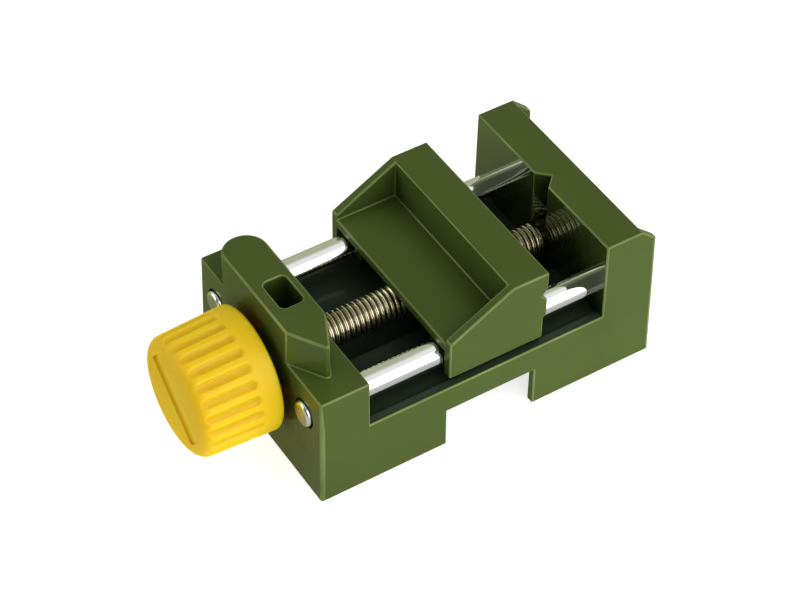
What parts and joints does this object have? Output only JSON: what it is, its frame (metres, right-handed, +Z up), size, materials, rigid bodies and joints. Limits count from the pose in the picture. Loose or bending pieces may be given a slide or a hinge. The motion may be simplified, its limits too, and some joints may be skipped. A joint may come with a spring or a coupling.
{
  "type": "precision vise",
  "caption": "Small machine vise with a painted cast base, two guide rods, a lead screw with a fluted knob, a moving jaw with a chip tray and grooved jaws.",
  "frame": {"origin": "under the middle of the overall length, on the plane that the base stands on", "axes": "+X along the lead screw from the knob to the fixed jaw, +Z up, +Y to the far side"},
  "size_m": [0.104, 0.0506, 0.0383],
  "materials": {
    "paint": "gloss olive green paint on a die casting",
    "chrome": "bright chrome",
    "steel": "turned steel",
    "dark_steel": "blackened steel",
    "brass": "turned brass",
    "knob_plastic": "satin yellow plastic"
  },
  "bodies": {
    "base": {"base_casting": "paint", "guide_rod_near": "chrome", "guide_rod_far": "chrome", "set_screw_front_near": "dark_steel", "set_screw_front_far": "dark_steel", "set_screw_rear_near": "dark_steel", "set_screw_rear_far": "dark_steel", "spindle_retainer": "dark_steel"},
    "jaw": {"moving_jaw": "paint", "spindle_nut": "brass"},
    "screw": {"spindle": "steel", "knob": "knob_plastic", "knob_insert": "brass", "knob_pin": "dark_steel", "thrust_washer": "dark_steel"}
  },
  "joints": [
    {"name": "jaw_slide", "type": "slide", "parent": "base", "child": "jaw", "axis": [1, 0, 0], "range_m": [-0.0198, 0.0137]},
    {"name": "spindle_turn", "type": "hinge", "parent": "base", "child": "screw", "pos_m": [0, 0, 0.0197], "axis": [1, 0, 0], "range_deg": [-5830, 4080]}
  ],
  "couplings": [
    {"joint": "spindle_turn", "follows": "jaw_slide", "rad_per_m": 5026.5}
  ]
}
